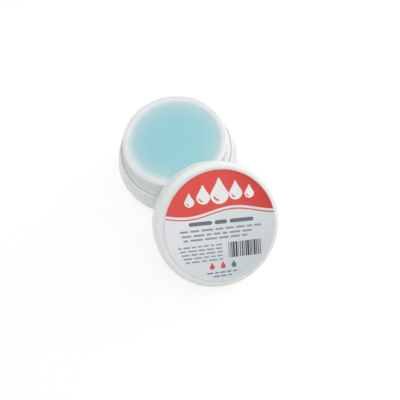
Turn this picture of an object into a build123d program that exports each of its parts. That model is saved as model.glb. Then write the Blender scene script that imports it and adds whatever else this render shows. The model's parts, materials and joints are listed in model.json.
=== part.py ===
from build123d import *
import os
from math import asin, atan2, cos, degrees, hypot, radians, sin, sqrt, tan

os.makedirs("parts", exist_ok=True)

# Finger moistener: a double-wall jar of gel, with its screw lid leaning on the jar's rim.
# Millimetres and degrees. The origin is on the table under the middle of the jar, +Z up, the lid towards -Y.

# Outer base of the jar. The side leans out from the shoulder down to a rounded belly
body_diameter = 52.0
shoulder_height = 18.5
side_spread = 17.0
belly_round = 10.0
base_wall = 1.9
base_floor = 1.4
foot_width = 3.4
foot_recess = 0.6
lip_wall = 0.9
inside_round = 8.0

# Inner jar: bowl, neck, shoulder flange and snap skirt
neck_height = 8.5
rim_width = 2.1
rim_round = 0.9
mouth_depth = 2.6
mouth_slope = 0.6
mouth_blend = 2.0
bowl_draft = 4.0
bowl_corner = 14.0
bowl_wall = 1.2
neck_root_round = 1.3
flange_thickness = 1.5
shoulder_round = 0.25
skirt_length = 5.0
skirt_wall = 1.2
skirt_end_round = 0.3

# Snap bead round the skirt, and the keys that stop the inner jar from turning in the base
bead_height = 0.4
bead_width = 1.4
bead_rise = 1.6
key_count = 4
key_width = 2.0
key_depth = 0.9
key_overlap = 2.4
key_height = 6.0

# Gel
headspace = 1.0

# Lid, liner and label
lid_wall = 1.8
lid_top = 2.0
crown_round = 2.2
lid_edge_round = 0.4
lead_chamfer = 0.5
liner_thickness = 1.2
liner_bead_height = 0.65
liner_bead_width = 1.2
liner_bead_back = 0.4
liner_bead_land = 0.2
label_rim = 0.55
label_thickness = 0.12
label_recess = 0.2

# How the lid leans: the distance between the two points where its edge lies on the rim
rest_span = 20.4

# Clearances
joint_gap = 0.1
bowl_gap = 3.0
skirt_gap = 0.15
bead_gap = 0.15
key_gap = 0.2
thread_room = 1.2
shut_gap = 0.3
liner_gap = 0.3
liner_play = 0.05
liner_bead_gap = 0.15
label_gap = 0.15
lean_gap = 0.4

# Levels of the jar
rim_z = shoulder_height + neck_height
ledge_z = shoulder_height - flange_thickness
floor_z = foot_recess + base_floor
bowl_bottom_z = floor_z + bowl_gap
bowl_floor_z = bowl_bottom_z + bowl_wall
bowl_top_z = rim_z - mouth_depth
skirt_end_z = ledge_z - skirt_length
bead_z = skirt_end_z + bead_rise
key_top_z = skirt_end_z + key_overlap
gel_z = rim_z - headspace

# Radii of the jar, from the outside in
body_radius = body_diameter / 2
spread_radius = body_radius + shoulder_height * tan(radians(side_spread))
foot_outer_radius = spread_radius - belly_round / tan(radians(90 - side_spread) / 2)
foot_inner_radius = foot_outer_radius - foot_width
base_inner_radius = body_radius - base_wall
lip_inner_radius = body_radius - lip_wall
flange_radius = lip_inner_radius - joint_gap
skirt_radius = base_inner_radius - skirt_gap
lid_inner_radius = body_radius - lid_wall
neck_radius = lid_inner_radius - thread_room
mouth_radius = neck_radius - rim_width
bowl_radius = mouth_radius - mouth_slope

# Sizes of the lid along its own axis, from its open edge
liner_seat = neck_height - shut_gap + liner_thickness
lid_height = liner_seat + lid_top
label_seat = lid_height - label_recess
label_seat_radius = body_radius - crown_round - label_rim
label_radius = label_seat_radius - label_gap
liner_radius = lid_inner_radius - liner_gap
liner_top = liner_seat - liner_play
liner_bead_top = liner_top - liner_thickness - liner_bead_gap


def bowl_radius_at(z):
    """Radius of the bowl's tapered inside at height z."""
    return bowl_radius - (bowl_top_z - z) * tan(radians(bowl_draft))


def bowl_outside_at(z):
    """Radius of the bowl's outside at height z."""
    return bowl_radius_at(z) + bowl_wall / cos(radians(bowl_draft))


# Lean of the lid. Its lower edge is on the table, and the edge of its mouth meets the rim at two points.
rest_radius = neck_radius - rim_round
edge_radius = lid_inner_radius + lead_chamfer - lean_gap
rest_reach = sqrt(rest_radius**2 - (rest_span / 2) ** 2)
edge_reach = sqrt(edge_radius**2 - (rest_span / 2) ** 2)
slope_length = body_radius - lid_edge_round + edge_reach
lean_angle = degrees(
    atan2(lid_edge_round, slope_length) + asin((rim_z - lid_edge_round) / hypot(slope_length, lid_edge_round))
)
lean_sin = sin(radians(lean_angle))
lean_cos = cos(radians(lean_angle))
lid_y = -(rest_reach + edge_reach * lean_cos)
lid_z = rim_z - edge_reach * lean_sin
lid_plane = Plane(origin=(0, lid_y, lid_z), x_dir=(1, 0, 0), z_dir=(0, -lean_sin, lean_cos))
lid_section = Plane(origin=lid_plane.origin, x_dir=lid_plane.x_dir, z_dir=-lid_plane.y_dir)
lid_axis = Axis(lid_plane.origin, lid_plane.z_dir)

# Half section of the space inside the bowl, from its floor to the rim
with BuildSketch(Plane.XZ) as bowl_hollow:
    with BuildLine():
        FilletPolyline(
            (0, rim_z),
            (mouth_radius, rim_z),
            (bowl_radius, bowl_top_z),
            (bowl_radius_at(bowl_floor_z), bowl_floor_z),
            (0, bowl_floor_z),
            radius=[0, 0, mouth_blend, bowl_corner, 0],
            close=True,
        )
    make_face()

# Outer base: a bellied cup with a standing ring, a ledge for the shoulder flange, a snap groove and the keys
with BuildPart() as outer_base:
    with BuildSketch(Plane.XZ):
        with BuildLine():
            FilletPolyline(
                (0, foot_recess),
                (foot_inner_radius, foot_recess),
                (foot_inner_radius + foot_recess, 0),
                (spread_radius, 0),
                (body_radius, shoulder_height),
                (lip_inner_radius, shoulder_height),
                (lip_inner_radius, ledge_z),
                (base_inner_radius, ledge_z),
                (base_inner_radius, floor_z),
                (0, floor_z),
                radius=[0, 0, 0, belly_round, shoulder_round, shoulder_round, 0, 0, inside_round, 0],
                close=True,
            )
        make_face()
    revolve(axis=Axis.Z)
    with BuildSketch(Plane.XZ):
        with BuildLine():
            Polyline(
                (base_inner_radius, bead_z - bead_width / 2 - bead_gap),
                (skirt_radius + bead_height + bead_gap, bead_z - bead_gap),
                (skirt_radius + bead_height + bead_gap, bead_z + bead_gap),
                (base_inner_radius, bead_z + bead_width / 2 + bead_gap),
                close=True,
            )
        make_face()
    revolve(axis=Axis.Z, mode=Mode.SUBTRACT)
    with BuildSketch(Plane.XY.offset(key_top_z)):
        with PolarLocations(base_inner_radius - key_depth, key_count):
            Rectangle(key_depth + base_wall / 2, key_width, align=(Align.MIN, Align.CENTER))
    extrude(amount=-key_height)
outer_base.part.label = "outer_base"
export_step(outer_base.part, "parts/outer_base.step")

# Inner jar: bowl and neck in one moulding, with a flange that closes the base and a skirt that snaps into it
skirt_inner_radius = skirt_radius - skirt_wall
with BuildPart() as inner_jar:
    with BuildSketch(Plane.XZ):
        with BuildLine():
            FilletPolyline(
                (0, ledge_z),
                (skirt_inner_radius, ledge_z),
                (skirt_inner_radius, skirt_end_z),
                (skirt_radius, skirt_end_z),
                (skirt_radius, ledge_z),
                (flange_radius, ledge_z),
                (flange_radius, shoulder_height),
                (neck_radius, shoulder_height),
                (neck_radius, rim_z),
                (0, rim_z),
                radius=[0, 0, skirt_end_round, skirt_end_round, 0, 0, shoulder_round, neck_root_round, 0, 0],
                close=True,
            )
        make_face()
    revolve(axis=Axis.Z)
    with BuildSketch(Plane.XZ):
        with BuildLine():
            FilletPolyline(
                (0, bowl_bottom_z),
                (bowl_outside_at(bowl_bottom_z), bowl_bottom_z),
                (bowl_outside_at(bowl_top_z), bowl_top_z),
                (0, bowl_top_z),
                radius=[0, bowl_corner + bowl_wall, 0, 0],
                close=True,
            )
        make_face()
    revolve(axis=Axis.Z)
    revolve(bowl_hollow.sketch, axis=Axis.Z, mode=Mode.SUBTRACT)
    fillet(inner_jar.edges().group_by(Axis.Z)[-1], radius=rim_round)
    with BuildSketch(Plane.XZ):
        with BuildLine():
            Polyline(
                (skirt_radius - skirt_wall / 2, bead_z - bead_width / 2),
                (skirt_radius, bead_z - bead_width / 2),
                (skirt_radius + bead_height, bead_z),
                (skirt_radius, bead_z + bead_width / 2),
                (skirt_radius - skirt_wall / 2, bead_z + bead_width / 2),
                close=True,
            )
        make_face()
    revolve(axis=Axis.Z)
    with BuildSketch(Plane.XY.offset(skirt_end_z)):
        with PolarLocations(skirt_inner_radius - key_gap, key_count):
            Rectangle(base_wall + skirt_wall, key_width + 2 * key_gap, align=(Align.MIN, Align.CENTER))
    extrude(amount=key_overlap + key_gap, mode=Mode.SUBTRACT)
inner_jar.part.label = "inner_jar"
export_step(inner_jar.part, "parts/inner_jar.step")

# Gel: fills the bowl up to its level below the rim
with BuildPart() as gel:
    revolve(bowl_hollow.sketch, axis=Axis.Z)
    split(bisect_by=Plane.XY.offset(gel_z), keep=Keep.BOTTOM)
gel.part.label = "gel"
export_step(gel.part, "parts/gel.step")

# Lid: a cap with a rounded crown, a shallow seat for the label and a bead that holds the liner
with BuildPart() as lid_shell:
    with BuildSketch(lid_section):
        with BuildLine():
            FilletPolyline(
                (0, liner_seat),
                (lid_inner_radius, liner_seat),
                (lid_inner_radius, lead_chamfer),
                (lid_inner_radius + lead_chamfer, 0),
                (body_radius, 0),
                (body_radius, lid_height),
                (label_seat_radius, lid_height),
                (label_seat_radius, label_seat),
                (0, label_seat),
                radius=[0, 0, 0, 0, lid_edge_round, crown_round, 0, 0, 0],
                close=True,
            )
        make_face()
    revolve(axis=lid_axis)
    with BuildSketch(lid_section):
        with BuildLine():
            Polyline(
                (lid_inner_radius + lid_wall / 2, liner_bead_top),
                (lid_inner_radius, liner_bead_top),
                (lid_inner_radius - liner_bead_height, liner_bead_top - liner_bead_back),
                (lid_inner_radius - liner_bead_height, liner_bead_top - liner_bead_back - liner_bead_land),
                (lid_inner_radius, liner_bead_top - liner_bead_width),
                (lid_inner_radius + lid_wall / 2, liner_bead_top - liner_bead_width),
                close=True,
            )
        make_face()
    revolve(axis=lid_axis)
lid_shell.part.label = "lid_shell"
export_step(lid_shell.part, "parts/lid_shell.step")

# Sealing liner: a soft disc that lies loose between the inside of the lid's top and the bead
with BuildPart() as sealing_liner:
    with BuildSketch(lid_plane.offset(liner_top)):
        Circle(liner_radius)
    extrude(amount=-liner_thickness)
sealing_liner.part.label = "sealing_liner"
export_step(sealing_liner.part, "parts/sealing_liner.step")

# Label: a round self-adhesive disc in its seat on the lid's top
with BuildPart() as lid_label:
    with BuildSketch(lid_plane.offset(label_seat)):
        Circle(label_radius)
    extrude(amount=label_thickness)
lid_label.part.label = "lid_label"
export_step(lid_label.part, "parts/lid_label.step")

print("lean of the lid, degrees:", round(lean_angle, 2))
print("lid origin, mm:", round(lid_y, 3), round(lid_z, 3), "axis:", round(-lean_sin, 5), round(lean_cos, 5))
print("gel volume, ml:", round(gel.part.volume / 1000, 2))
print("clear distance from lid to jar, mm:", round(lid_shell.part.distance_to(inner_jar.part), 3))
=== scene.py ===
import json
import math
import random

import bmesh
import bpy
from mathutils import Matrix, Vector


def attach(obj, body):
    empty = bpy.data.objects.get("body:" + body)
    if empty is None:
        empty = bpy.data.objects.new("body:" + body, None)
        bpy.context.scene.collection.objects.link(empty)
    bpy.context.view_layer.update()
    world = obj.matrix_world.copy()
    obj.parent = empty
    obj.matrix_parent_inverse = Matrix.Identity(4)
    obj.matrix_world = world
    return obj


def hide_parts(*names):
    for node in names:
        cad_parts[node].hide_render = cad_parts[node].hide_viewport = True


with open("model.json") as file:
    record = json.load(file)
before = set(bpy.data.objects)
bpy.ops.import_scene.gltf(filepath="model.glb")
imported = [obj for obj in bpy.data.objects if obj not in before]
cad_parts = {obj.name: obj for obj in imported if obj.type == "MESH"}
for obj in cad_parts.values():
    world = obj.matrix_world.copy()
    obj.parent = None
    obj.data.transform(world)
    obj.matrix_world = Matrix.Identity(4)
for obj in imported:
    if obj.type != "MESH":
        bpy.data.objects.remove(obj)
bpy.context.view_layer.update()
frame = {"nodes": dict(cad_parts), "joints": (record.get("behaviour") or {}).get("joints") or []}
mm = 0.001
weldGap = 1e-7  # metres: corners nearer than this become one
print("frame loaded:", ", ".join(sorted(frame["nodes"])))


# the lid's own frame: x across, y uphill, z along its axis from the open edge
turnJoint = next(j for j in frame["joints"] if j["name"] == "lid_turn")
lidAxis = Vector(turnJoint["axis"]).normalized()
lidUphill = lidAxis.cross(Vector((1, 0, 0)))
lidMatrix = Matrix((Vector((1, 0, 0)), lidUphill, lidAxis)).transposed().to_4x4()
lidMatrix.translation = Vector(turnJoint["pos_m"])


shot = {
    "distance": 190 * mm,
    "azimuth": -19.99,  # degrees from the front, towards the right
    "elevation": 66.82,
    "roll": -5.79,
    "target": (1.43 * mm, -20.66 * mm, 0),
    "lens": 35.58,
    "nearest": 10 * mm,
}


def placeCamera(s):
    turn, tilt, roll = (math.radians(s[k]) for k in ("azimuth", "elevation", "roll"))
    back = Vector((math.sin(turn) * math.cos(tilt), -math.cos(turn) * math.cos(tilt), math.sin(tilt)))
    right = Vector((math.cos(turn), math.sin(turn), 0))
    up = back.cross(right)
    across = math.cos(roll) * right + math.sin(roll) * up
    upright = math.cos(roll) * up - math.sin(roll) * right
    data = bpy.data.cameras.new("shotCamera")
    data.lens = s["lens"]
    data.clip_start = s["nearest"]
    camera = bpy.data.objects.new("shotCamera", data)
    camera.matrix_world = Matrix((across, upright, back)).transposed().to_4x4()
    camera.location = Vector(s["target"]) + s["distance"] * back
    bpy.context.scene.collection.objects.link(camera)
    bpy.context.scene.camera = camera


placeCamera(shot)
print("camera placed")


def newPiece(name, bm, material, body, matrix=None):
    bmesh.ops.remove_doubles(bm, verts=bm.verts, dist=weldGap)
    bmesh.ops.recalc_face_normals(bm, faces=bm.faces)
    mesh = bpy.data.meshes.new(name)
    bm.to_mesh(mesh)
    bm.free()
    if matrix is not None:
        mesh.transform(matrix)
    mesh.materials.append(material)
    piece = bpy.data.objects.new(name, mesh)
    bpy.context.scene.collection.objects.link(piece)
    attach(piece, body)
    return piece


def smoothByAngle(piece, degreesLimit):
    mesh = piece.data
    mesh.shade_smooth()
    mesh.set_sharp_from_angle(angle=math.radians(degreesLimit))


def latheSolid(profile, steps, lift=lambda x, y, z: 0):
    # profile runs from the axis out and back to the axis, as (radius, height) in metres
    bm = bmesh.new()
    rings = []
    for radius, height in profile:
        ring = []
        for i in range(steps if radius else 1):
            angle = 2 * math.pi * i / steps
            x, y = radius * math.cos(angle), radius * math.sin(angle)
            ring.append(bm.verts.new((x, y, height + lift(x, y, height))))
        rings.append(ring)
    for inner, outer in zip(rings, rings[1:]):
        for i in range(steps):
            j = (i + 1) % steps
            if len(inner) == 1:
                bm.faces.new((inner[0], outer[i], outer[j]))
            elif len(outer) == 1:
                bm.faces.new((inner[i], outer[0], inner[j]))
            else:
                bm.faces.new((inner[i], outer[i], outer[j], inner[j]))
    return bm


def smoothStep(t):
    t = max(0.0, min(1.0, t))
    return t * t * (3 - 2 * t)


def smootherStep(t):
    return t * t * t * (t * (6 * t - 15) + 10)


def addNode(tree, kind, **values):
    node = tree.nodes.new(kind)
    for key, value in values.items():
        if key in node.inputs:
            node.inputs[key].default_value = value
        else:
            setattr(node, key, value)
    return node


def feed(tree, socket, value):
    # a number or a tone is set on the socket, and another node's output is linked to it
    if isinstance(value, (int, float, tuple)):
        socket.default_value = value
    else:
        tree.links.new(value, socket)


def mathNode(tree, operation, first, second):
    node = addNode(tree, "ShaderNodeMath", operation=operation)
    feed(tree, node.inputs[0], first)
    feed(tree, node.inputs[1], second)
    return node.outputs[0]


def mixColours(tree, factor, first, second):
    mix = addNode(tree, "ShaderNodeMix", data_type="RGBA")
    tree.links.new(factor, mix.inputs["Factor"])
    feed(tree, mix.inputs[6], first)  # A and B of the colour mode share their names with other modes
    feed(tree, mix.inputs[7], second)
    return mix.outputs[2]


def newGroup(name, inputs, outputs):
    tree = bpy.data.node_groups.new(name, "ShaderNodeTree")
    for title, kind, value in inputs:
        socket = tree.interface.new_socket(title, in_out="INPUT", socket_type="NodeSocket" + kind)
        socket.default_value = value
    for title, kind in outputs:
        tree.interface.new_socket(title, in_out="OUTPUT", socket_type="NodeSocket" + kind)
    return tree, tree.nodes.new("NodeGroupInput"), tree.nodes.new("NodeGroupOutput")


def newMaterial(name, constants):
    material = bpy.data.materials.new(name)
    material.use_nodes = True
    shader = material.node_tree.nodes["Principled BSDF"]
    for key, value in constants.items():
        shader.inputs[key].default_value = value
    return material, material.node_tree, shader


def srgb(red, green, blue):
    # screen levels of 255 to linear light
    def lin(c):
        c /= 255
        return c / 12.92 if c <= 0.04045 else ((c + 0.055) / 1.055) ** 2.4
    return (lin(red), lin(green), lin(blue), 1)


def dimmed(tone, strength):
    return tuple(c * strength for c in tone[:3]) + (1,)


# shared: faint clouding, fine grain and handling marks of a moulded or printed surface
handledSurface = {
    "cloud": {"Detail": 3.0, "Roughness": 0.55},
    "grain": {"Detail": 2.0, "Roughness": 0.5},
    "marks": {"Scale": 260.0, "Detail": 5.0, "Roughness": 0.7, "Distortion": 1.2},
    "cloudSpread": {"From Min": 0.35, "From Max": 0.65},
    "marksSpread": {"From Min": 0.5, "From Max": 0.72},
}


def buildSurfaceGroup(s):
    tree, given, out = newGroup(
        "handledSurface",
        [
            ("Colour", "Color", (1, 1, 1, 1)),
            ("Shade Colour", "Color", (0.9, 0.9, 0.9, 1)),
            ("Cloud Scale", "Float", 90.0),
            ("Cloud Amount", "Float", 0.3),
            ("Grain Scale", "Float", 2500.0),
            ("Roughness", "Float", 0.35),
            ("Marks", "Float", 0.1),
        ],
        [("Colour", "Color"), ("Roughness", "Float"), ("Height", "Float")],
    )
    place = addNode(tree, "ShaderNodeTexCoord")
    cloud, grain, marks = (addNode(tree, "ShaderNodeTexNoise", **s[k]) for k in ("cloud", "grain", "marks"))
    for texture in (cloud, grain, marks):
        tree.links.new(place.outputs["Object"], texture.inputs["Vector"])
    tree.links.new(given.outputs["Cloud Scale"], cloud.inputs["Scale"])
    tree.links.new(given.outputs["Grain Scale"], grain.inputs["Scale"])
    spread = addNode(tree, "ShaderNodeMapRange", **s["cloudSpread"])
    tree.links.new(cloud.outputs[0], spread.inputs["Value"])
    share = mathNode(tree, "MULTIPLY", spread.outputs["Result"], given.outputs["Cloud Amount"])
    mixed = mixColours(tree, share, given.outputs["Colour"], given.outputs["Shade Colour"])
    tree.links.new(mixed, out.inputs["Colour"])
    band = addNode(tree, "ShaderNodeMapRange", **s["marksSpread"])
    tree.links.new(marks.outputs[0], band.inputs["Value"])
    worn = mathNode(tree, "MULTIPLY", band.outputs["Result"], given.outputs["Marks"])
    tree.links.new(mathNode(tree, "ADD", given.outputs["Roughness"], worn), out.inputs["Roughness"])
    tree.links.new(grain.outputs[0], out.inputs["Height"])
    return tree


surfaceGroup = buildSurfaceGroup(handledSurface)


def surfaceMaterial(name, finish, **tone):
    # the shader's own values, then the handled surface over them, with its grain as relief
    material, tree, shader = newMaterial(name, finish["shader"])
    group = tree.nodes.new("ShaderNodeGroup")
    group.node_tree = surfaceGroup
    for key, value in {**finish["surface"], **tone}.items():
        group.inputs[key].default_value = value
    tree.links.new(group.outputs["Colour"], shader.inputs["Base Color"])
    tree.links.new(group.outputs["Roughness"], shader.inputs["Roughness"])
    relief = addNode(tree, "ShaderNodeBump", **finish["bump"])
    tree.links.new(group.outputs["Height"], relief.inputs["Height"])
    tree.links.new(relief.outputs["Normal"], shader.inputs["Normal"])
    return material, tree, group, relief


plasticFinish = {
    "jar": {"Colour": srgb(238, 240, 239), "Shade Colour": srgb(232, 235, 234), "Roughness": 0.36},
    "lid": {"Colour": srgb(238, 240, 237), "Shade Colour": srgb(232, 235, 232), "Roughness": 0.34},
    "surface": {"Cloud Scale": 70.0, "Cloud Amount": 0.6, "Grain Scale": 3200.0, "Marks": 0.12},
    "bump": {"Strength": 0.25, "Distance": 0.012 * mm},
    "shader": {
        "IOR": 1.49,
        "Subsurface Weight": 0.8,
        "Subsurface Radius": (1.0, 0.95, 0.9),
        "Subsurface Scale": 1.2 * mm,
    },
}
jarPlastic = surfaceMaterial("jarPlastic", plasticFinish, **plasticFinish["jar"])[0]
lidPlastic = surfaceMaterial("lidPlastic", plasticFinish, **plasticFinish["lid"])[0]
mouldedNodes = {"outer_base": jarPlastic, "inner_jar": jarPlastic, "lid_shell": lidPlastic}
for nodeName, material in mouldedNodes.items():
    frame["nodes"][nodeName].data.materials[0] = material
print("plastic finished")


# the bowl's inside in mm, from the rim's round down to the rounded corner
bowl = {
    "radius": 20.3,
    "top": 24.4,  # the wall flares above this height
    "flare": 0.6 / 2.6,
    "draft": math.tan(math.radians(4)),
    "corner": 14.0,
    "rim": 27.0,
    "rimRound": 0.9,
}
gelShape = {
    "level": 26.35,
    "smear": 17.4,  # from this radius it is smeared up the wall and thins out on the rim
    "film": 0.012,  # how far its thin edge stands above the rim
    "dimple": {"x": 3.0, "y": 4.0, "radius": 9.0, "depth": 0.2},
    "wave": {"height": 0.05, "x": (0.42, 0.6), "y": (0.35, -0.8)},  # radians per mm and shift
    "calm": (15.0, 19.0),  # dimple and waves die out between these radii
    "floor": 6.2,
    "wallRing": 22.4,
    "bite": 0.05,  # into the wall, so that no gap shows
    "steps": 192,
    "rings": {"level": 12, "smear": 24, "round": 8, "corner": 12},
    "sharpAbove": 45,
}
# colour by distance from the middle: the thin edge lets the white bowl through, and the palest tone is also
# painted light that lifts the shade where the gel meets the wall
gelFinish = {
    "tones": (
        (0.0, srgb(154, 211, 219)),
        (11.8, srgb(159, 211, 218)),
        (16.4, srgb(172, 214, 218)),
        (18.3, srgb(185, 217, 220)),
        (19.8, srgb(207, 223, 225)),
        # partly painted light: made paler to offset the shade in the corner at the wall
        (21.1, srgb(236, 239, 239)),
    ),
    "middle": (0.0, -0.8 * mm, 0.0),  # it lies deepest a little to the front
    "sway": 0.9 * mm,  # the rings of colour are a little ragged
    "raggedNoise": {"Scale": 120.0, "Detail": 3.0},
    "glossNoise": {"Scale": 45.0, "Detail": 2.0},
    "gloss": {"To Min": 0.4, "To Max": 0.58},
    "bump": {"Strength": 0.25, "Distance": 0.15 * mm},
    "shader": {
        "Subsurface Weight": 0.15,
        "Subsurface Radius": (0.35, 0.8, 1.0),
        "Subsurface Scale": 0.3 * mm,
        "IOR": 1.4,
        "Specular IOR Level": 0.4,
    },
}


def gelMaterial(f):
    material, tree, shader = newMaterial("moisteningGel", f["shader"])
    place = addNode(tree, "ShaderNodeTexCoord")
    shift = addNode(tree, "ShaderNodeVectorMath", operation="SUBTRACT")
    shift.inputs[1].default_value = f["middle"]
    tree.links.new(place.outputs["Object"], shift.inputs[0])
    flat = addNode(tree, "ShaderNodeVectorMath", operation="MULTIPLY")
    flat.inputs[1].default_value = (1, 1, 0)
    tree.links.new(shift.outputs["Vector"], flat.inputs[0])
    reach = addNode(tree, "ShaderNodeVectorMath", operation="LENGTH")
    tree.links.new(flat.outputs["Vector"], reach.inputs[0])
    ragged = addNode(tree, "ShaderNodeTexNoise", **f["raggedNoise"])
    tree.links.new(place.outputs["Object"], ragged.inputs["Vector"])
    swing = mathNode(tree, "SUBTRACT", ragged.outputs[0], 0.5)  # the noise lies about one half
    sway = mathNode(tree, "MULTIPLY", swing, f["sway"])
    outermost = f["tones"][-1][0]
    spread = addNode(tree, "ShaderNodeMapRange", **{"From Max": outermost * mm})
    tree.links.new(mathNode(tree, "ADD", reach.outputs["Value"], sway), spread.inputs["Value"])
    ramp = addNode(tree, "ShaderNodeValToRGB")
    stops = ramp.color_ramp.elements
    stops[0].color = f["tones"][0][1]
    stops[1].color = f["tones"][-1][1]
    for radius, tone in f["tones"][1:-1]:
        stops.new(radius / outermost).color = tone
    tree.links.new(spread.outputs["Result"], ramp.inputs["Fac"])
    tree.links.new(ramp.outputs["Color"], shader.inputs["Base Color"])
    body = addNode(tree, "ShaderNodeTexNoise", **f["glossNoise"])
    tree.links.new(place.outputs["Object"], body.inputs["Vector"])
    gloss = addNode(tree, "ShaderNodeMapRange", **f["gloss"])
    tree.links.new(body.outputs[0], gloss.inputs["Value"])
    tree.links.new(gloss.outputs["Result"], shader.inputs["Roughness"])
    swell = addNode(tree, "ShaderNodeBump", **f["bump"])
    tree.links.new(ragged.outputs[0], swell.inputs["Height"])
    tree.links.new(swell.outputs["Normal"], shader.inputs["Normal"])
    return material


def bowlWall(z):
    # radius of the bowl's inside above its corner
    if z >= bowl["top"]:
        return bowl["radius"] + (z - bowl["top"]) * bowl["flare"]
    return bowl["radius"] - (bowl["top"] - z) * bowl["draft"]


def buildGel(s):
    rings = s["rings"]
    corner = bowl["corner"]
    lean = math.atan(bowl["flare"])
    roundZ = bowl["rim"] - bowl["rimRound"]
    roundR = bowlWall(roundZ) + bowl["rimRound"] / math.cos(lean)
    climb = bowl["rim"] + s["film"] - s["level"]
    profile = [(s["smear"] * i / rings["level"], s["level"]) for i in range(rings["level"] + 1)]
    for i in range(1, rings["smear"] + 1):
        t = i / rings["smear"]
        profile.append((s["smear"] + (roundR - s["smear"]) * t, s["level"] + climb * smootherStep(t)))
    under = bowl["rimRound"] - s["bite"]
    for i in range(rings["round"] + 1):
        angle = math.pi / 2 + (math.pi / 2 - lean) * i / rings["round"]
        profile.append((roundR + under * math.cos(angle), roundZ + under * math.sin(angle)))
    cornerTop = s["floor"] + corner
    for z in (bowl["top"], s["wallRing"], cornerTop):
        profile.append((bowlWall(z) + s["bite"], z))
    centreR = bowlWall(cornerTop) - corner
    for i in range(1, rings["corner"] + 1):
        angle = math.pi / 2 * i / rings["corner"]
        profile.append((centreR + corner * math.cos(angle), cornerTop - corner * math.sin(angle)))
    profile.append((0.0, s["floor"]))
    pressed, wave = s["dimple"], s["wave"]
    calmFrom, calmTo = s["calm"]

    def surface(x, y, z):
        if z < s["level"] * mm:
            return 0
        x, y = x / mm, y / mm
        away = math.hypot(x - pressed["x"], y - pressed["y"]) / pressed["radius"]
        dip = -pressed["depth"] * math.exp(-away * away)
        ripple = math.sin(x * wave["x"][0] + wave["x"][1]) * math.cos(y * wave["y"][0] + wave["y"][1])
        lively = 1 - smoothStep((math.hypot(x, y) - calmFrom) / (calmTo - calmFrom))
        return (dip + wave["height"] * ripple) * lively * mm

    return latheSolid([(r * mm, z * mm) for r, z in profile], s["steps"], surface)


gel = newPiece("gelFill", buildGel(gelShape), gelMaterial(gelFinish), "jar")
smoothByAngle(gel, gelShape["sharpAbove"])
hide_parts("gel")
print("gel poured")


# short ribs of a two-start thread, one opposite the other, in mm and degrees
threadForm = {
    "foot": 1.5, "crest": 0.5, "points": 12,
    "lead": 7.2, "sweep": 100.0,
    "taper": 20.0, "slim": 0.5,  # at its ends the foot is this much as wide
    "sharpAbove": 50,
}
neckThread = {**threadForm, "radius": 23.0, "rise": 0.55, "sink": 0.1, "start": 21.2, "from": (-125.0, 55.0)}
capThread = {**threadForm, "radius": 24.2, "rise": -0.55, "sink": -0.1, "start": 1.4, "from": (10.0, 190.0)}


def buildThread(s):
    # each rib climbs round the axis and runs out into the wall at both ends
    half, crest = s["foot"] / 2, s["crest"] / 2
    section = []
    for i in range(s["points"] + 1):
        t = -1 + 2 * i / s["points"]
        section.append((t * half, smoothStep((1 - abs(t)) / (1 - crest / half))))
    steps = int(s["sweep"])
    bm = bmesh.new()
    for first in s["from"]:
        rows = []
        for k in range(steps + 1):
            turned = s["sweep"] * k / steps
            angle = math.radians(first + turned)
            height = s["start"] + s["lead"] * turned / 360
            ends = smoothStep(turned / s["taper"]) * smoothStep((s["sweep"] - turned) / s["taper"])
            row = []
            for offset, flank in section:
                r = s["radius"] - s["sink"] + (s["sink"] + s["rise"]) * flank * ends
                z = height + offset * (s["slim"] + (1 - s["slim"]) * ends)
                row.append(bm.verts.new((r * math.cos(angle) * mm, r * math.sin(angle) * mm, z * mm)))
            rows.append(row)
        for a, b in zip(rows, rows[1:]):
            for i in range(len(a)):
                j = (i + 1) % len(a)
                bm.faces.new((a[i], b[i], b[j], a[j]))
        bm.faces.new(rows[0])
        bm.faces.new(list(reversed(rows[-1])))
    return bm


neck = newPiece("neckThread", buildThread(neckThread), jarPlastic, "jar")
cap = newPiece("lidThread", buildThread(capThread), lidPlastic, "lid", lidMatrix)
for piece in (neck, cap):
    smoothByAngle(piece, threadForm["sharpAbove"])
print("threads cut")


# foamed disc with the ring that the jar's rim has pressed into it, in mm
linerShape = {
    "radius": 23.9,
    "under": 8.15,
    "top": 9.35,
    "edge": 0.25,
    "ring": (21.0, 22.9),
    "pressed": 0.14,
    "ringSlope": 0.35,
    "underRings": (0, 6, 12, 18),
    "topRings": (12, 0),
    "edgeSteps": 4,
    "steps": 160,
    "sharpAbove": 35,
}
foamFinish = {
    "cells": 1800.0,
    "surface": {
        "Colour": srgb(233, 233, 229),
        "Shade Colour": srgb(220, 221, 218),
        "Cloud Scale": 300.0,
        "Cloud Amount": 0.5,
        "Grain Scale": 2600.0,
        "Roughness": 0.7,
        "Marks": 0.15,
    },
    "bump": {"Strength": 0.6, "Distance": 0.05 * mm},
    "shader": {"Subsurface Weight": 0.2, "Subsurface Scale": 0.8 * mm, "Specular IOR Level": 0.25},
}


def foamMaterial(f):
    material, tree, group, relief = surfaceMaterial("linerFoam", f)
    place = addNode(tree, "ShaderNodeTexCoord")
    cells = addNode(tree, "ShaderNodeTexVoronoi", Scale=f["cells"])
    tree.links.new(place.outputs["Object"], cells.inputs["Vector"])
    both = mathNode(tree, "ADD", group.outputs["Height"], cells.outputs["Distance"])
    tree.links.new(both, relief.inputs["Height"])
    return material


def buildLiner(s):
    low, high = s["ring"]
    edge, reach = s["edge"], s["radius"] - s["edge"]
    turns = [math.pi / 2 * i / s["edgeSteps"] for i in range(s["edgeSteps"] + 1)]
    profile = [(r, s["under"]) for r in (*s["underRings"], low - s["ringSlope"])]
    profile += [(r, s["under"] + s["pressed"]) for r in (low, high)]
    profile += [(reach + edge * math.sin(a), s["under"] + edge * (1 - math.cos(a))) for a in turns]
    profile += [(reach + edge * math.cos(a), s["top"] - edge * (1 - math.sin(a))) for a in turns]
    profile += [(r, s["top"]) for r in s["topRings"]]
    return latheSolid([(r * mm, h * mm) for r, h in profile], s["steps"])


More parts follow.
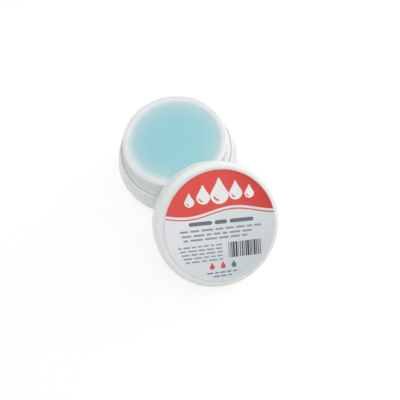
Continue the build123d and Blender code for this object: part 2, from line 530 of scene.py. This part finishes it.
linerFoam = foamMaterial(foamFinish)
liner = newPiece("linerDisc", buildLiner(linerShape), linerFoam, "liner", lidMatrix)
smoothByAngle(liner, linerShape["sharpAbove"])
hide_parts("sealing_liner")
print("liner pressed")


# stuck on by hand, a little off the middle, so its edge climbs out of the lid's seat on one side
label = {
    "radius": 23.0,
    "middle": (0.67, -0.26),
    "turn": -19.0,
    "face": 11.32,
    "thickness": 0.12,
    "climb": (22.15, 23.25),  # from the lid's axis, where it lifts off the seat
    "lift": 0.2,
    "ink": 0.018,
    "margin": 0.06,
    "rings": (0, 5, 10, 15, 18, 20, 20.8),
    "edgeRings": [21.2 + 0.2 * i for i in range(9)],
    "steps": 192,
    "sharpAbove": 30,
}
labelPlace = Matrix.Translation(Vector((*label["middle"], 0)) * mm)
labelPlace = labelPlace @ Matrix.Rotation(math.radians(label["turn"]), 4, "Z")
labelMatrix = lidMatrix @ labelPlace


def labelLift(x, y):
    fromAxis = (labelPlace @ Vector((x, y, 0))).length / mm
    start, stop = label["climb"]
    return label["lift"] * smoothStep((fromAxis - start) / (stop - start)) * mm


def buildLabel(s):
    across = [*s["rings"], *s["edgeRings"], s["radius"]]
    profile = [(r * mm, s["face"] * mm) for r in across]
    profile += [(r * mm, (s["face"] - s["thickness"]) * mm) for r in reversed(across)]
    return latheSolid(profile, s["steps"], lambda x, y, z: labelLift(x, y))


# silvery paper with painted shade: painted grey at the foot and lighter towards the upper left
paperFinish = {
    "paintedShade": {
        "first": srgb(210, 218, 221),
        "last": srgb(236, 237, 240),
        "span": (-22 * mm, 9 * mm),
        "towards": (-0.4, 0.92),  # across and uphill
        "shade": 0.95,
    },
    "surface": {
        "Cloud Scale": 60.0, "Cloud Amount": 0.7, "Grain Scale": 5200.0, "Roughness": 0.4, "Marks": 0.08,
    },
    "bump": {"Strength": 0.2, "Distance": 0.01 * mm},
    "shader": {"IOR": 1.45, "Metallic": 0.12},
}
inkFinish = {
    "tones": {
        "red": srgb(234, 86, 79),
        "white": srgb(249, 249, 247),
        "grey": srgb(114, 121, 128),
        "pale": srgb(151, 159, 166),
        "dark": srgb(62, 64, 68),
    },
    "shade": 0.9,
    "surface": {
        "Cloud Scale": 220.0, "Cloud Amount": 0.45, "Grain Scale": 6000.0, "Roughness": 0.38, "Marks": 0.1,
    },
    "bump": {"Strength": 0.15, "Distance": 0.006 * mm},
    "shader": {"IOR": 1.46, "Specular IOR Level": 0.35},
}
# painted shade: the red ink is painted darker towards the right
redPaintedShade = {
    "first": inkFinish["tones"]["red"],
    "last": srgb(211, 69, 63),
    "span": (10 * mm, 23 * mm),
    "towards": (1.0, 0.0),
    "shade": inkFinish["shade"],
}


def addPaintedShade(tree, group, f):
    # painted shade: from the first tone to the last one along a line across the lid's top
    across, uphill = f["towards"]
    start, stop = f["span"]
    place = addNode(tree, "ShaderNodeTexCoord")
    fromMiddle = addNode(tree, "ShaderNodeVectorMath", operation="SUBTRACT")
    fromMiddle.inputs[1].default_value = lidMatrix.translation
    tree.links.new(place.outputs["Object"], fromMiddle.inputs[0])
    along = addNode(tree, "ShaderNodeVectorMath", operation="DOT_PRODUCT")
    along.inputs[1].default_value = Vector((across, 0, 0)) + uphill * lidUphill
    tree.links.new(fromMiddle.outputs["Vector"], along.inputs[0])
    paintedShade = addNode(tree, "ShaderNodeMapRange", **{"From Min": start, "From Max": stop})
    tree.links.new(along.outputs["Value"], paintedShade.inputs["Value"])
    for socket, strength in (("Colour", 1.0), ("Shade Colour", f["shade"])):
        first, last = dimmed(f["first"], strength), dimmed(f["last"], strength)
        tree.links.new(mixColours(tree, paintedShade.outputs["Result"], first, last), group.inputs[socket])


def paperMaterial(f):
    material, tree, group, _ = surfaceMaterial("labelPaper", f)
    # painted shade across the paper
    addPaintedShade(tree, group, f["paintedShade"])
    return material


def inkMaterial(name, tone, paintedShade=None):
    tones = {"Colour": tone, "Shade Colour": dimmed(tone, inkFinish["shade"])}
    material, tree, group, _ = surfaceMaterial(name, inkFinish, **tones)
    if paintedShade:
        # painted shade darkens the ink's tone across the lid
        addPaintedShade(tree, group, paintedShade)
    return material


labelPaper = paperMaterial(paperFinish)
paper = newPiece("labelDisc", buildLabel(label), labelPaper, "lid", labelMatrix)
smoothByAngle(paper, label["sharpAbove"])
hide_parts("lid_label")
# painted shade on the red ink
paintedShades = {"red": redPaintedShade}
inks = {}
for tone, colour in inkFinish["tones"].items():
    inks[tone] = inkMaterial(tone + "Ink", colour, paintedShades.get(tone))
print("label stuck on")


def printStrips(name, tone, strips, layer=0, cuts=1):
    # each strip is two runs of (u, v) points in mm on the label, filled pair by pair
    bm = bmesh.new()
    low = (label["face"] + layer * label["ink"]) * mm
    for left, right in strips:
        rows = []
        for (u0, v0), (u1, v1) in zip(left, right):
            under = []
            for k in range(cuts + 1):
                x, y = (u0 + (u1 - u0) * k / cuts) * mm, (v0 + (v1 - v0) * k / cuts) * mm
                under.append((x, y, low + labelLift(x, y)))
            over = [(x, y, h + label["ink"] * mm) for x, y, h in reversed(under)]
            rows.append([bm.verts.new(corner) for corner in under + over])
        for p, q in zip(rows, rows[1:]):
            for i in range(len(p)):
                j = (i + 1) % len(p)
                bm.faces.new((p[i], p[j], q[j], q[i]))
        bm.faces.new(list(reversed(rows[0])))
        bm.faces.new(rows[-1])
    return newPiece(name, bm, inks[tone], "lid", labelMatrix)


# red field over a wave, with a thin line along under it
redWave = {
    "height": 6.6,
    "swing": 1.5,
    "shift": 4,
    "length": 38,
    "line": (-1.5, -1.0),  # the line's lower and upper edge, from the field's edge
    "inset": 0.05,
    "halvings": 40,
    "fieldSteps": 160,
    "fieldCuts": 72,
    "lineSteps": 240,
}
fieldRadius = label["radius"] - label["margin"]


def waveHeight(u):
    s = redWave
    return s["height"] + s["swing"] * math.sin(2 * math.pi * (u + s["shift"]) / s["length"])


def waveRun(offset, steps):
    # points along the wave, between the places where it meets the label's edge
    ends = []
    for side in (-1, 1):
        near, far = 0.0, side * fieldRadius
        for i in range(redWave["halvings"]):
            middle = (near + far) / 2
            if math.hypot(middle, waveHeight(middle) + offset) < fieldRadius:
                near = middle
            else:
                far = middle
        ends.append(near - side * redWave["inset"])
    left, right = ends
    across = [left + (right - left) * i / steps for i in range(steps + 1)]
    return [(u, waveHeight(u) + offset) for u in across]


fieldFoot = waveRun(0, redWave["fieldSteps"])
fieldTop = [(u, math.sqrt(fieldRadius**2 - u**2)) for u, v in fieldFoot]
printStrips("labelRedField", "red", [(fieldFoot, fieldTop)], 0, redWave["fieldCuts"])
printStrips("labelRedWave", "red", [[waveRun(offset, redWave["lineSteps"]) for offset in redWave["line"]]])
print("red field printed")


dropForm = {
    "round": 0.36,  # radius of the round part, as a share of the height
    "waist": 0.72,  # how much of that is drawn in at the tip
    "waistBend": 1.5,
    "tipBend": 2.2,
}
whiteDrops = {
    "places": (  # u, v and height
        (-12.4, 10.9, 5.6),
        (-6.7, 12.4, 7.8),
        (0.0, 13.0, 10.6),
        (6.7, 13.2, 7.8),
        (12.4, 12.6, 5.6),
    ),
    "steps": 40,
}
dropGlint = {
    "radius": 0.25,  # radius and width are shares of the drop's height
    "width": 0.065,
    "from": 195,
    "to": 265,
    "steps": 16,
}
smallDrops = {"v": -16.6, "size": 3.0, "steps": 32, "red": (-4.6, 0.0), "grey": (4.6,)}


def droplet(u, v, size, steps):
    # round below, drawn to a point above; v is the middle of the round part
    radius = size * dropForm["round"]
    left, right = [], []
    for i in range(1, steps):
        angle = math.pi * (i / steps - 0.5)
        rise = max(0.0, math.sin(angle))
        x = radius * math.cos(angle) * (1 - dropForm["waist"] * rise ** dropForm["waistBend"])
        y = v + radius * math.sin(angle) + (size - 2 * radius) * rise ** dropForm["tipBend"]
        left.append((u - x, y))
        right.append((u + x, y))
    return left, right


def glint(u, v, size):
    # a curved streak inside the drop
    s = dropGlint
    radius, width = size * s["radius"], size * s["width"]
    sweep = [math.radians(s["from"] + (s["to"] - s["from"]) * i / s["steps"]) for i in range(s["steps"] + 1)]
    return [[(u + r * math.cos(a), v + r * math.sin(a)) for a in sweep] for r in (radius, radius - width)]


def smallDropRow(places):
    return [droplet(u, smallDrops["v"], smallDrops["size"], smallDrops["steps"]) for u in places]


drops = [droplet(*place, whiteDrops["steps"]) for place in whiteDrops["places"]]
glints = [glint(*place) for place in whiteDrops["places"]]
printStrips("labelDrops", "white", drops, 1)
printStrips("labelDropGlints", "red", glints, 2)
print("drops printed")


# bars in place of words; a row is u, v and length, and word gives its shortest and longest
heading = {"v": 1.9, "height": 1.6, "words": ((-13.2, 9.6), (-2.6, 5.2), (3.6, 10.2))}
textRows = {
    "rows": ((-17.0, -0.9, 34), (-16.4, -2.8, 31), (-15.8, -4.6, 29)),
    "height": 0.78,
    "word": (1.9, 5.2),
    "gap": 0.8,
}
noteRows = {
    "rows": [(-18.2 + 0.7 * i, -7.4 - 1.55 * i, 18.4 - 0.7 * i) for i in range(5)],
    "height": 0.62,
    "word": (1.5, 4.0),
    "gap": 0.65,
}
footRow = {"rows": ((-7.0, -19.2, 14),), "height": 0.55, "word": (1.4, 3.4), "gap": 0.65}
lastRow = {"rows": ((-4.2, -20.7, 8.4),), "height": 0.5, "word": (1.2, 2.6), "gap": 0.6}
stripes = {
    "u": (2.6, 16.2),
    "v": (-13.4, -6.9),
    "widths": (0.25, 0.4, 0.55, 0.75),
    "gaps": (0.25, 0.35, 0.5),
}
dashCaps = [math.radians(a) for a in (15, 40, 65, 90)]
rng = random.Random(11)


def dash(u, v, length, height):
    # a bar with rounded ends, from u along the line
    half = height / 2
    columns = [(u + half - half * math.cos(a), half * math.sin(a)) for a in dashCaps]
    columns += [(u + length - half + half * math.cos(a), half * math.sin(a)) for a in reversed(dashCaps)]
    return [(x, v - h) for x, h in columns], [(x, v + h) for x, h in columns]


def wordRows(s):
    run = []
    shortest, longest = s["word"]
    for u, v, length in s["rows"]:
        end = u + length
        while u < end - shortest:
            word = min(rng.uniform(shortest, longest), end - u)
            run.append(dash(u, v, word, s["height"]))
            u += word + s["gap"]
    return run


def stripeBlock(s):
    block = []
    u, end = s["u"]
    while u < end:
        width = rng.choice(s["widths"])
        block.append([[(edge, v) for v in s["v"]] for edge in (u, u + width)])
        u += width + rng.choice(s["gaps"])
    return block


words = [dash(u, heading["v"], length, heading["height"]) for u, length in heading["words"]]
printStrips("labelHeading", "grey", words)
printStrips("labelTextRows", "pale", wordRows(textRows))
printStrips("labelNotes", "pale", wordRows(noteRows))
printStrips("labelBars", "dark", stripeBlock(stripes))
printStrips("labelSmallDrops", "red", smallDropRow(smallDrops["red"]))
printStrips("labelGreyDrop", "grey", smallDropRow(smallDrops["grey"]))
printStrips("labelFootRows", "grey", wordRows(footRow) + wordRows(lastRow))
print("label printed")


# stub of the moulding gate under the base, in mm
gateMark = {
    "recess": 0.6,
    "height": 0.3,
    "radius": 1.6,
    "bite": 0.05,  # into the base
    "dish": 0.1,
    "bevel": 0.12,
    "flat": (0.4, 0.8),  # shares of the radius
    "steps": 48,
    "sharpAbove": 40,
}


def buildGateMark(s):
    top = s["recess"] + s["bite"]
    low = s["recess"] - s["height"]
    profile = [(0, low + s["dish"])]
    profile += [(s["radius"] * share, low) for share in s["flat"]]
    profile += [(s["radius"], low + s["bevel"]), (s["radius"], top), (0, top)]
    return latheSolid([(r * mm, z * mm) for r, z in profile], s["steps"])


gate = newPiece("gateMark", buildGateMark(gateMark), jarPlastic, "jar")
smoothByAngle(gate, gateMark["sharpAbove"])
print("base marked")


tableTop = {
    "radius": 1.6,
    "steps": 96,
    "colour": (0.88, 0.88, 0.88, 1),
    "shown": (0.26, 0.26, 0.26, 1),  # with the glow it shows white and keeps the shadow
    "glow": 0.78,
}
light = {
    "level": 0.85,
    "slope": (-0.2, 0.08, -0.6),  # the soft light comes mostly from the walls round the table
    "worldColour": (0.975, 0.99, 1.0, 1),
    "lamps": {
        "keyLight": {"power": 1.42, "size": 0.5, "distance": 0.62, "direction": (0.80, 0.20, 0.56)},
        "topLight": {"power": 1.32, "size": 0.5, "distance": 0.62, "direction": (0.15, -0.10, 0.98)},
    },
}


def pickShown(tree, plain, shown):
    # what the camera, gloss and clear pieces see, and the plain shader for all other light
    path = addNode(tree, "ShaderNodeLightPath")
    seen = mathNode(tree, "MAXIMUM", path.outputs["Is Camera Ray"], path.outputs["Is Glossy Ray"])
    seen = mathNode(tree, "MAXIMUM", seen, path.outputs["Is Transmission Ray"])
    pick = addNode(tree, "ShaderNodeMixShader")
    for socket, value in zip(pick.inputs, (seen, plain.outputs[0], shown.outputs[0])):
        tree.links.new(value, socket)
    return pick.outputs[0]


def buildFloor(s):
    bm = bmesh.new()
    bmesh.ops.create_circle(bm, cap_ends=True, segments=s["steps"], radius=s["radius"])
    mesh = bpy.data.meshes.new("tableTop")
    bm.to_mesh(mesh)
    bm.free()
    floor = bpy.data.objects.new("tableTop", mesh)
    bpy.context.scene.collection.objects.link(floor)
    material = bpy.data.materials.new("tableWhite")
    material.use_nodes = True
    tree = material.node_tree
    tree.nodes.clear()
    plain = addNode(tree, "ShaderNodeBsdfDiffuse", Color=s["colour"])
    shaded = addNode(tree, "ShaderNodeBsdfDiffuse", Color=s["shown"])
    glow = addNode(tree, "ShaderNodeEmission", Strength=s["glow"])
    both = addNode(tree, "ShaderNodeAddShader")
    tree.links.new(shaded.outputs[0], both.inputs[0])
    tree.links.new(glow.outputs[0], both.inputs[1])
    out = addNode(tree, "ShaderNodeOutputMaterial")
    tree.links.new(pickShown(tree, plain, both), out.inputs["Surface"])
    mesh.materials.append(material)


def buildLight(s):
    world = bpy.data.worlds.new("studio")
    bpy.context.scene.world = world
    world.use_nodes = True
    tree = world.node_tree
    tree.nodes.clear()
    soft = addNode(tree, "ShaderNodeBackground", Color=s["worldColour"])
    place = addNode(tree, "ShaderNodeTexCoord")
    side = addNode(tree, "ShaderNodeVectorMath", operation="DOT_PRODUCT")
    side.inputs[1].default_value = s["slope"]
    tree.links.new(place.outputs["Generated"], side.inputs[0])
    tree.links.new(mathNode(tree, "ADD", side.outputs["Value"], s["level"]), soft.inputs["Strength"])
    white = addNode(tree, "ShaderNodeBackground", Color=(1, 1, 1, 1), Strength=1.0)
    out = addNode(tree, "ShaderNodeOutputWorld")
    tree.links.new(pickShown(tree, soft, white), out.inputs["Surface"])
    for name, given in s["lamps"].items():
        data = bpy.data.lights.new(name, "AREA")
        data.energy = given["power"]
        data.shape = "DISK"
        data.size = given["size"]
        lamp = bpy.data.objects.new(name, data)
        direction = Vector(given["direction"]).normalized()
        lamp.location = Vector(shot["target"]) + direction * given["distance"]
        lamp.rotation_euler = direction.to_track_quat("Z", "Y").to_euler()
        bpy.context.scene.collection.objects.link(lamp)


buildFloor(tableTop)
buildLight(light)
bpy.context.scene.view_settings.view_transform = "Standard"
print("stage lit")
